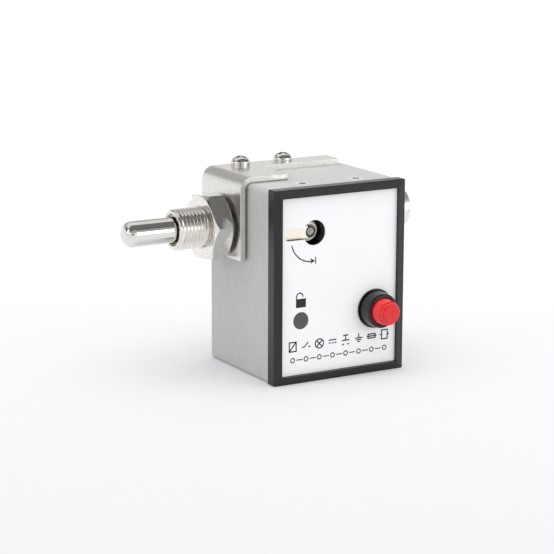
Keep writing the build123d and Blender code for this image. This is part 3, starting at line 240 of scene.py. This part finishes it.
def new_material(name, metallic=0.0, specular=0.5, coat=0.0):
    """An empty material with its shader set to the numbers that are the same all over."""
    material = bpy.data.materials.new(name)
    material.use_nodes = True
    tree = material.node_tree
    shader = tree.nodes["Principled BSDF"]
    shader.inputs["Metallic"].default_value = metallic
    shader.inputs["Specular IOR Level"].default_value = specular
    shader.inputs["Coat Weight"].default_value = coat
    shader.inputs["Coat Roughness"].default_value = COAT_ROUGHNESS
    return material, tree, shader


def place_on_piece(tree, stretch=(1, 1, 1)):
    """The place on the piece in millimetres. A stretch under 1 draws the pattern out along that axis."""
    coordinates = tree.nodes.new("ShaderNodeTexCoord")
    scale = tree.nodes.new("ShaderNodeMapping")
    scale.inputs["Scale"].default_value = [factor / MM for factor in stretch]
    link(tree, coordinates.outputs["Object"], scale, "Vector")
    return scale.outputs["Vector"]


def grain(tree, place, size, detail=2.0, roughness=0.5):
    """Noise from 0 to 1 with spots of about the given size in millimetres."""
    texture = tree.nodes.new("ShaderNodeTexNoise")
    texture.inputs["Scale"].default_value = 1 / size
    texture.inputs["Detail"].default_value = detail
    texture.inputs["Roughness"].default_value = roughness
    link(tree, place, texture, "Vector")
    return texture.outputs["Fac"]


def spread(tree, value, low, high, start=0.3, end=0.7, eased=False):
    """The value between start and end, spread over low to high, with soft ends where it is eased."""
    ramp = tree.nodes.new("ShaderNodeMapRange")
    if eased:
        ramp.interpolation_type = "SMOOTHSTEP"
    ramp.inputs["From Min"].default_value = start
    ramp.inputs["From Max"].default_value = end
    ramp.inputs["To Min"].default_value = low
    ramp.inputs["To Max"].default_value = high
    link(tree, value, ramp, "Value")
    return ramp.outputs["Result"]


def two_tone(tree, shader, factor, first, second):
    """Base colour that goes from the first colour to the second."""
    mix = tree.nodes.new("ShaderNodeMix")
    mix.data_type = "RGBA"
    mix.inputs["A"].default_value = first
    mix.inputs["B"].default_value = second
    tree.links.new(factor, mix.inputs[0])
    tree.links.new(mix.outputs[2], shader.inputs["Base Color"])


def relief(tree, shader, height, depth, edge=0.0):
    """Fine relief of the given depth, over edges that are rounded by the given radius, in millimetres."""
    bump = tree.nodes.new("ShaderNodeBump")
    bump.inputs["Distance"].default_value = depth * MM
    if edge:
        rounding = tree.nodes.new("ShaderNodeBevel")
        rounding.samples = EDGE_SAMPLES
        rounding.inputs["Radius"].default_value = edge * MM
        link(tree, rounding.outputs["Normal"], bump, "Normal")
    link(tree, height, bump, "Height")
    link(tree, bump.outputs["Normal"], shader, "Normal")


def plain_finish(
    name, first, second, rough, size, depth, metallic=0.0, coat=0.0, stretch=(1, 1, 1), edge=0.0
):
    """A finish with mottled colour between two screen colours, uneven gloss and a fine relief."""
    material, tree, shader = new_material(name, metallic=metallic, coat=coat)
    place = place_on_piece(tree, stretch)
    fine = grain(tree, place, size, detail=3.0)
    broad = grain(tree, place, size * BROAD_GRAIN, detail=2.0)
    two_tone(tree, shader, spread(tree, broad, 0.0, 1.0), linear(*first), linear(*second))
    link(tree, spread(tree, fine, rough[0], rough[1]), shader, "Roughness")
    relief(tree, shader, fine, depth, edge)
    return material


def nut_finish():
    """Barrel plated nickel with a lightly dimpled surface, so that its flats mottle what they mirror."""
    material, tree, shader = new_material("nickel_nut_finish", metallic=1.0)
    place = place_on_piece(tree)
    fine = grain(tree, place, size=0.28, detail=3.0, roughness=0.6)
    dimples = grain(tree, place, size=1.1, detail=2.0)
    two_tone(tree, shader, spread(tree, dimples, 0.0, 1.0), linear(228, 226, 221), linear(246, 244, 240))
    link(tree, spread(tree, fine, low=0.06, high=0.14), shader, "Roughness")
    relief(tree, shader, fine, depth=0.015, edge=0.4)
    return material


def post_finish():
    """Rough turned end with bright and dark specks, and painted shade: a near-black rim where it stands in
    the eye.
    """
    material, tree, shader = new_material("grey_post_finish", metallic=0.2)
    place = place_on_piece(tree)
    specks = grain(tree, place, size=0.3, detail=3.0, roughness=0.7)
    from_key = vector_math(tree, "SUBTRACT", place, (KEY_X, 0, KEY_Z))
    across = vector_math(tree, "MULTIPLY", from_key, (1, 0, 1))
    radius = vector_math(tree, "LENGTH", across)
    speckled = spread(tree, specks, low=0.15, high=1.0, start=0.4, end=0.6)
    # Painted shade: outside its rim the post turns near black, standing in for the shade of the eye around
    # it
    unshaded_inside_rim = spread(tree, radius, 1.0, 0.0, *POST_PAINTED_SHADE_RIM)
    bright = number_math(tree, "MULTIPLY", speckled, unshaded_inside_rim)
    two_tone(tree, shader, bright, linear(14, 14, 14), linear(215, 215, 212))
    link(tree, spread(tree, specks, low=0.3, high=0.6), shader, "Roughness")
    relief(tree, shader, specks, depth=0.05)
    return material


def winding_finish():
    """Tape wound over the coil, with the edge of each turn showing."""
    material, tree, shader = new_material("coil_tape_finish", coat=0.3)
    place = place_on_piece(tree)
    bands = tree.nodes.new("ShaderNodeTexWave")
    bands.wave_type = "BANDS"
    bands.bands_direction = "X"
    bands.inputs["Scale"].default_value = 0.12
    bands.inputs["Distortion"].default_value = 0.6
    link(tree, place, bands, "Vector")
    turns = bands.outputs["Fac"]
    two_tone(tree, shader, turns, linear(196, 150, 46), linear(222, 178, 70))
    link(tree, spread(tree, turns, low=0.3, high=0.5, start=0.0, end=1.0), shader, "Roughness")
    relief(tree, shader, turns, depth=0.05)
    return material


FINISHES = {
    "grey_paint": plain_finish(
        "grey_paint_finish", (184, 187, 184), (190, 193, 190), rough=(0.36, 0.5), size=0.28, depth=0.012
    ),
    "black_plastic": plain_finish(
        "black_plastic_finish", (16, 16, 18), (22, 22, 24), rough=(0.24, 0.38), size=0.2, depth=0.006
    ),
    "white_label": plain_finish(
        "white_label_finish", (248, 248, 250), (250, 250, 252), rough=(0.36, 0.5), size=0.5, depth=0.001
    ),
    "nickel_plate": plain_finish(
        "nickel_plate_finish", (224, 222, 217), (234, 232, 227), rough=(0.2, 0.32), size=0.16, depth=0.0035,
        metallic=1.0, stretch=(0.3, 1, 1), edge=0.3,
    ),
    "nickel_thread": plain_finish(
        "nickel_thread_finish", (230, 226, 220), (240, 236, 230), rough=(0.13, 0.24), size=0.2, depth=0.006,
        metallic=1.0,
    ),
    "nickel_nut": nut_finish(),
    "nickel_lever": plain_finish(
        "nickel_lever_finish", (246, 240, 226), (250, 245, 234), rough=(0.3, 0.45), size=0.3, depth=0.008,
        metallic=0.7,
    ),
    "bright_screw": plain_finish(
        "bright_screw_finish", (222, 220, 216), (230, 228, 224), rough=(0.06, 0.14), size=0.5, depth=0.002,
        metallic=1.0,
    ),
    "polished_bolt": plain_finish(
        "polished_bolt_finish", (228, 226, 222), (234, 232, 228), rough=(0.06, 0.12), size=0.4, depth=0.0015,
        metallic=1.0, stretch=(1, 0.3, 0.3),
    ),
    "plain_steel": plain_finish(
        "plain_steel_finish", (184, 187, 190), (200, 202, 204), rough=(0.28, 0.42), size=0.5, depth=0.006,
        metallic=1.0,
    ),
    "grey_post": post_finish(),
    "brass": plain_finish(
        "brass_finish", (212, 178, 96), (222, 190, 112), rough=(0.2, 0.32), size=0.3, depth=0.004,
        metallic=1.0,
    ),
    "bobbin_plastic": plain_finish(
        "bobbin_plastic_finish", (226, 222, 206), (232, 228, 214), rough=(0.4, 0.55), size=0.4, depth=0.005
    ),
    "coil_tape": winding_finish(),
    "black_gloss": plain_finish(
        "black_gloss_finish", (10, 10, 12), (15, 15, 17), rough=(0.14, 0.22), size=0.35, depth=0.003
    ),
    "red_plastic": plain_finish(
        "red_plastic_finish", (218, 12, 20), (224, 18, 28), rough=(0.16, 0.26), size=0.35, depth=0.003,
        coat=0.3,
    ),
    "grey_lens": plain_finish(
        "grey_lens_finish", (72, 72, 74), (78, 78, 80), rough=(0.3, 0.42), size=0.3, depth=0.003
    ),
    "led_resin": plain_finish(
        "led_resin_finish", (196, 226, 190), (206, 232, 200), rough=(0.1, 0.2), size=0.5, depth=0.002,
        coat=0.2,
    ),
    "green_board": plain_finish(
        "green_board_finish", (28, 104, 62), (34, 118, 70), rough=(0.3, 0.45), size=0.5, depth=0.006,
        coat=0.2,
    ),
    "blue_can": plain_finish(
        "blue_can_finish", (34, 44, 92), (40, 50, 104), rough=(0.24, 0.36), size=0.4, depth=0.003
    ),
    "green_plastic": plain_finish(
        "green_plastic_finish", (46, 142, 84), (52, 150, 90), rough=(0.35, 0.5), size=0.4, depth=0.005
    ),
    "resistor_body": plain_finish(
        "resistor_body_finish", (206, 182, 142), (214, 192, 154), rough=(0.35, 0.5), size=0.4, depth=0.004
    ),
    "grommet_rubber": plain_finish(
        "grommet_rubber_finish", (34, 34, 35), (40, 40, 41), rough=(0.6, 0.75), size=0.3, depth=0.008
    ),
}
PLUG = plain_finish(
    "pale_plug_finish", (234, 233, 229), (242, 241, 238), rough=(0.3, 0.42), size=0.3, depth=0.006,
    metallic=0.9,
)
INK = plain_finish("sign_ink", (14, 14, 16), (20, 20, 22), rough=(0.45, 0.6), size=0.3, depth=0.001)


def dress_cad_nodes():
    """Each carried-over node gets the finish of the material slot that the record names for it."""
    for row in frame["record"]["subparts"]:
        mesh = frame["nodes"][row["node"]].data
        mesh.materials.clear()
        pale = row["node"] in PALE_NODES
        mesh.materials.append(PLUG if pale else FINISHES[row["material_slot"]])


def working_spring(node, joint, axis, fixed_end, moving_end, stroke):
    """A copy of the wound spring that rides on the lock's body in place of the node. The joint, axis, fixed
    end, moving end and stroke are not used.
    """
    coil = frame["nodes"][node]
    spring = bpy.data.objects.new(node + "_wound", coil.data.copy())
    bpy.context.scene.collection.objects.link(spring)
    spring.matrix_world = coil.matrix_world.copy()
    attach(spring, "lock_body")
    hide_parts(node)
    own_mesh(spring)


def finish_mesh(bm, name, material, smooth=SMOOTH_ANGLE):
    """Turns a bmesh in millimetres into a piece that rides on the lock's body."""
    bmesh.ops.recalc_face_normals(bm, faces=bm.faces)
    bmesh.ops.scale(bm, vec=(MM, MM, MM), verts=bm.verts)
    mesh = bpy.data.meshes.new(name)
    bm.to_mesh(mesh)
    bm.free()
    mesh.materials.append(material)
    for polygon in mesh.polygons:
        polygon.use_smooth = True
    mesh.set_sharp_from_angle(angle=math.radians(smooth))
    piece = bpy.data.objects.new(name, mesh)
    bpy.context.scene.collection.objects.link(piece)
    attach(piece, "lock_body")
    return piece


def thread_radius(x, turn):
    """Radius of the screw thread at a length and at an angle, given in turns."""
    phase = ((x - SLEEVE_TIP_X) / THREAD_PITCH - turn) % 1.0
    flank = (1 - THREAD_CREST - THREAD_ROOT) / 2
    if phase < THREAD_CREST:
        depth = 0.0
    elif phase < THREAD_CREST + flank:
        depth = (phase - THREAD_CREST) / flank
    elif phase < THREAD_CREST + flank + THREAD_ROOT:
        depth = 1.0
    else:
        depth = (1 - phase) / flank
    tip_chamfer = THREAD_R - THREAD_DEEP - THREAD_TIP_UNDER + (x - SLEEVE_TIP_X)
    most = THREAD_IN_NUT_R if NUT_MOUTH_X < x < NUT_BACK_X else THREAD_R
    return min(THREAD_R - depth * THREAD_DEEP, most, tip_chamfer)


def around_bolt(x, radius, turn):
    """A place round the bolt's axis, at an angle that is given in turns."""
    angle = turn * 2 * math.pi
    return Vector((x, BOLT_Y - radius * math.cos(angle), BOLT_Z + radius * math.sin(angle)))


def add_thread(bm):
    """The thread's surface: rows of corners that climb one pitch on their way round the sleeve."""
    count = THREAD_SEGMENTS
    pitches = (SLEEVE_FLANGE_X - SLEEVE_TIP_X) / THREAD_PITCH
    rows = int(math.ceil((pitches + 1) * THREAD_STEPS))
    first = -THREAD_STEPS
    grid = {}
    for row in range(first, rows + THREAD_STEPS + 1):
        for i in range(count):
            turn = i / count
            x = SLEEVE_TIP_X + (row / THREAD_STEPS + turn) * THREAD_PITCH
            x = min(max(x, SLEEVE_TIP_X), SLEEVE_FLANGE_X)
            grid[row, i] = bm.verts.new(around_bolt(x, thread_radius(x, turn), turn))
    for row in range(first, rows):
        for i in range(count):
            wrap = THREAD_STEPS if i + 1 == count else 0
            j = (i + 1) % count
            corners = [grid[row, i], grid[row + 1, i], grid[row + 1 + wrap, j], grid[row + wrap, j]]
            bm.faces.new(corners)
    bmesh.ops.remove_doubles(bm, verts=bm.verts, dist=THREAD_MERGE)
    bmesh.ops.dissolve_degenerate(bm, edges=bm.edges, dist=THREAD_MERGE)


def add_ring(bm, x, radii):
    """A ring of corners round the bolt's axis, one for each radius."""
    return [bm.verts.new(around_bolt(x, radius, i / len(radii))) for i, radius in enumerate(radii)]


def add_sleeve_inside(bm):
    """Mouth, bore and inner flange of the sleeve, from the thread's first edge to its last."""
    count = THREAD_SEGMENTS
    mouth_end = SLEEVE_TIP_X + SLEEVE_MOUTH_DEEP
    inside = [
        (SLEEVE_TIP_X, SLEEVE_MOUTH_R + SLEEVE_MOUTH_CHAMFER),
        (SLEEVE_TIP_X + SLEEVE_MOUTH_CHAMFER, SLEEVE_MOUTH_R),
        (mouth_end, SLEEVE_MOUTH_R),
        (mouth_end, SLEEVE_BORE_R),
        (SLEEVE_BACK_X, SLEEVE_BORE_R),
        (SLEEVE_BACK_X, SLEEVE_FLANGE_R),
        (SLEEVE_FLANGE_X, SLEEVE_FLANGE_R),
    ]
    thread_end = [thread_radius(SLEEVE_FLANGE_X, i / count) for i in range(count)]
    rings = [add_ring(bm, x, [radius] * count) for x, radius in inside]
    rings.insert(0, add_ring(bm, SLEEVE_TIP_X, [thread_radius(SLEEVE_TIP_X, 0)] * count))
    rings.append(add_ring(bm, SLEEVE_FLANGE_X, thread_end))
    for near, far in zip(rings, rings[1:]):
        for i in range(count):
            j = (i + 1) % count
            bm.faces.new([near[i], near[j], far[j], far[i]])
    bmesh.ops.remove_doubles(bm, verts=bm.verts, dist=RING_MERGE)


def sleeve_piece():
    """Guide sleeve with its real screw thread, wide mouth, bore and inner flange."""
    bm = bmesh.new()
    add_thread(bm)
    add_sleeve_inside(bm)
    metal = FINISHES["nickel_thread"]
    piece = finish_mesh(bm, "threaded_sleeve_cut", metal, THREAD_SMOOTH_ANGLE)
    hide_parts("threaded_sleeve")


def add_prism(bm, outline):
    """A flat sign, given by its outline as (x, z) on the plate."""
    front = [bm.verts.new((x, PLATE_Y - INK_PROUD, z)) for x, z in outline]
    back = [bm.verts.new((x, PLATE_Y + INK_SUNK, z)) for x, z in outline]
    bm.faces.new(front)
    bm.faces.new(list(reversed(back)))
    for i in range(len(outline)):
        j = (i + 1) % len(outline)
        bm.faces.new([front[i], back[i], back[j], front[j]])


def add_line(bm, start, end, width=STROKE):
    """A straight stroke."""
    a, b = Vector(start), Vector(end)
    along = (b - a).normalized()
    side = Vector((-along.y, along.x)) * width / 2
    add_prism(bm, [tuple(a + side), tuple(b + side), tuple(b - side), tuple(a - side)])


def add_strokes(bm, centre, strokes):
    """Straight strokes that are given by their two ends, as seen from a centre."""
    x, z = centre
    for (start_x, start_z), (end_x, end_z) in strokes:
        add_line(bm, (x + start_x, z + start_z), (x + end_x, z + end_z))


def add_arc(bm, centre, radius, start, end, width=STROKE, steps=ARC_STEPS):
    """A curved stroke between two angles in degrees, in short joined pieces."""
    outer, inner = [], []
    for i in range(steps + 1):
        angle = math.radians(start + (end - start) * i / steps)
        direction = Vector((math.cos(angle), math.sin(angle)))
        outer.append(Vector(centre) + direction * (radius + width / 2))
        inner.append(Vector(centre) + direction * (radius - width / 2))
    for i in range(steps):
        add_prism(bm, [tuple(p) for p in (outer[i], outer[i + 1], inner[i + 1], inner[i])])


def add_frame(bm, centre, width, height):
    """A rectangle drawn with strokes, closed at its corners."""
    x, z = centre
    half_w, half_h = width / 2, height / 2
    left, right = x - half_w - STROKE / 2, x + half_w + STROKE / 2
    for side in (-1, 1):
        add_line(bm, (left, z + side * half_h), (right, z + side * half_h))
        add_line(bm, (x + side * half_w, z - half_h), (x + side * half_w, z + half_h))


def finish_sign(bm, name):
    """Turns a sign into a piece of print on the plate."""
    finish_mesh(bm, name, INK)


def turn_arrow():
    """Arrow that shows which way the key turns, with a stop line at its end."""
    bm = bmesh.new()
    add_arc(bm, ARROW_CENTRE, ARROW_R, ARROW_START, ARROW_END, ARROW_STROKE)
    add_prism(bm, ARROW_HEAD)
    add_line(bm, *ARROW_STOP, ARROW_STOP_STROKE)
    finish_sign(bm, "turn_arrow")


def padlock_sign():
    """Open padlock over the indicator."""
    bm = bmesh.new()
    left, right = INDICATOR_X - PADLOCK_W / 2, INDICATOR_X + PADLOCK_W / 2
    top = PADLOCK_BOTTOM_Z + PADLOCK_H
    add_prism(bm, [(left, PADLOCK_BOTTOM_Z), (right, PADLOCK_BOTTOM_Z), (right, top), (left, top)])
    shackle_x, shackle_z = INDICATOR_X - SHACKLE_SHIFT, top + SHACKLE_LIFT
    add_arc(bm, (shackle_x, shackle_z), SHACKLE_R, *SHACKLE_ARC)
    leg_x = shackle_x - SHACKLE_R
    add_line(bm, (leg_x, top - SHACKLE_SUNK), (leg_x, shackle_z))
    finish_sign(bm, "padlock_sign")


def circuit_signs():
    """A row of plain circuit symbols, with a row of terminals below them."""
    bm = bmesh.new()
    places = [SIGN_FIRST_X + SIGN_APART * i for i in range(len(SIGN_STROKES))]
    for x, sign in zip(places, SIGN_STROKES):
        if sign in SIGN_FRAMES:
            add_frame(bm, (x, SIGN_Z), *SIGN_FRAMES[sign])
        if sign in SIGN_CIRCLES:
            add_arc(bm, (x, SIGN_Z), SIGN_CIRCLES[sign], 0, 360)
        add_strokes(bm, (x, SIGN_Z), SIGN_STROKES[sign])
    for x in places:
        add_arc(bm, (x, TERMINAL_Z), TERMINAL_R, 0, 360, TERMINAL_STROKE, TERMINAL_STEPS)
    for left, right in zip(places, places[1:]):
        start = (left + TERMINAL_LINK_GAP, TERMINAL_Z)
        end = (right - TERMINAL_LINK_GAP, TERMINAL_Z)
        add_line(bm, start, end, TERMINAL_LINK_STROKE)
    finish_sign(bm, "circuit_signs")


def height_light(tree, direction):
    """How bright the studio's light is from each height."""
    split = tree.nodes.new("ShaderNodeSeparateXYZ")
    tree.links.new(direction, split.inputs[0])
    band = tree.nodes.new("ShaderNodeValToRGB")
    ramp = band.color_ramp
    for place, level in WORLD_STOPS[1:-1]:
        ramp.elements.new(place)
    for element, (place, level) in zip(sorted(ramp.elements, key=lambda e: e.position), WORLD_STOPS):
        element.position = place
        element.color = (level, level, level, 1)
    tree.links.new(split.outputs["Z"], band.inputs["Fac"])
    return band.outputs["Color"]


def darken(tree, light, direction, toward, inner, outer, left_over):
    """The light with a darker round place in it, by two angles in degrees."""
    nearness = vector_math(tree, "DOT_PRODUCT", direction, toward.normalized())
    edge, full = math.cos(math.radians(outer)), math.cos(math.radians(inner))
    times = tree.nodes.new("ShaderNodeVectorMath")
    times.operation = "SCALE"
    tree.links.new(light, times.inputs[0])
    link(tree, spread(tree, nearness, 1.0, left_over, edge, full, eased=True), times, "Scale")
    return times.outputs["Vector"]


def studio_world():
    """Even pale light, and in mirrored rays a greyer band over the horizon and gaps between the lights."""
    world = bpy.data.worlds.new("studio")
    bpy.context.scene.world = world
    world.use_nodes = True
    tree = world.node_tree
    direction = tree.nodes.new("ShaderNodeTexCoord").outputs["Generated"]
    around_x = vector_math(tree, "NORMALIZE", vector_math(tree, "MULTIPLY", direction, (0, 1, 1)))
    light = height_light(tree, direction)
    light = darken(tree, light, around_x, *BAND_FRONT)
    light = darken(tree, light, direction, *GAP_LEFT)
    light = darken(tree, light, direction, *GAP_BEHIND_CAMERA)
    seen = tree.nodes.new("ShaderNodeLightPath")
    mirrored = tree.nodes.new("ShaderNodeMix")
    mirrored.data_type = "RGBA"
    mirrored.inputs[6].default_value = WHITE
    tree.links.new(seen.outputs["Is Glossy Ray"], mirrored.inputs[0])
    tree.links.new(light, mirrored.inputs[7])
    background = tree.nodes["Background"]
    link(tree, mirrored.outputs[2], background, "Color")
    background.inputs["Strength"].default_value = WORLD_LEVEL
    white = tree.nodes.new("ShaderNodeBackground")
    white.inputs["Color"].default_value = WHITE
    choose = tree.nodes.new("ShaderNodeMixShader")
    tree.links.new(seen.outputs["Is Camera Ray"], choose.inputs[0])
    tree.links.new(background.outputs[0], choose.inputs[1])
    tree.links.new(white.outputs[0], choose.inputs[2])
    link(tree, choose.outputs[0], tree.nodes["World Output"], "Surface")


def floor_finish():
    """Pale floor with a faint glow that the camera and mirrored rays see, more of it further away."""
    material, tree, shader = new_material("floor_finish", specular=0.0)
    shader.inputs["Base Color"].default_value = FLOOR_COLOR
    shader.inputs["Roughness"].default_value = FLOOR_ROUGHNESS
    place = tree.nodes.new("ShaderNodeTexCoord").outputs["Object"]
    away = vector_math(tree, "DOT_PRODUCT", place, VIEW_DIRECTION)
    rise = spread(tree, away, *FLOOR_GLOW, FLOOR_NEAR, FLOOR_FAR)
    seen = tree.nodes.new("ShaderNodeLightPath")
    either = number_math(tree, "MAXIMUM", seen.outputs["Is Camera Ray"], seen.outputs["Is Glossy Ray"])
    glow = tree.nodes.new("ShaderNodeEmission")
    glow.inputs["Color"].default_value = FLOOR_GLOW_COLOR
    link(tree, number_math(tree, "MULTIPLY", either, rise), glow, "Strength")
    both = tree.nodes.new("ShaderNodeAddShader")
    tree.links.new(shader.outputs[0], both.inputs[0])
    tree.links.new(glow.outputs[0], both.inputs[1])
    link(tree, both.outputs[0], tree.nodes["Material Output"], "Surface")
    return material


def studio_floor():
    """Wide pale floor that keeps a soft shadow."""
    bm = bmesh.new()
    bmesh.ops.create_grid(bm, x_segments=4, y_segments=4, size=FLOOR_SIZE)
    mesh = bpy.data.meshes.new("floor")
    bm.to_mesh(mesh)
    bm.free()
    mesh.materials.append(floor_finish())
    floor = bpy.data.objects.new("floor", mesh)
    bpy.context.scene.collection.objects.link(floor)


def soft_lamp(name, place, size, power, mirrored):
    """Square lamp that looks at the middle of the object. One that isn't mirrored shows in no reflection."""
    light = bpy.data.lights.new(name, "AREA")
    light.shape = "SQUARE"
    light.size = size
    light.energy = power
    lamp = bpy.data.objects.new(name, light)
    bpy.context.scene.collection.objects.link(lamp)
    lamp.location = place
    lamp.visible_glossy = mirrored
    toward = LAMP_TARGET - Vector(place)
    lamp.rotation_euler = toward.to_track_quat("-Z", "Y").to_euler()


def studio_camera():
    """Camera at the photograph's place and angle."""
    a, e = CAMERA_AZIMUTH, CAMERA_ELEVATION
    back = Vector((math.sin(a) * math.cos(e), -math.cos(a) * math.cos(e), math.sin(e)))
    level = Vector((math.cos(a), math.sin(a), 0))
    upright = back.cross(level)
    right = level * math.cos(CAMERA_ROLL) + upright * math.sin(CAMERA_ROLL)
    up = upright * math.cos(CAMERA_ROLL) - level * math.sin(CAMERA_ROLL)
    turn = Matrix((right, up, back)).transposed()
    data = bpy.data.cameras.new("camera")
    data.lens = LENS
    data.sensor_width = SENSOR
    data.clip_start = CAMERA_NEAR
    camera = bpy.data.objects.new("camera", data)
    bpy.context.scene.collection.objects.link(camera)
    camera.matrix_world = Matrix.Translation(CAMERA_PLACE) @ turn.to_4x4()
    bpy.context.scene.camera = camera


dress_cad_nodes()
for spring in SPRINGS:
    working_spring(*spring)
sleeve_piece()
turn_arrow()
padlock_sign()
circuit_signs()
studio_world()
studio_floor()
for lamp in LAMPS:
    soft_lamp(*lamp)
studio_camera()
bpy.context.scene.view_settings.view_transform = "Standard"
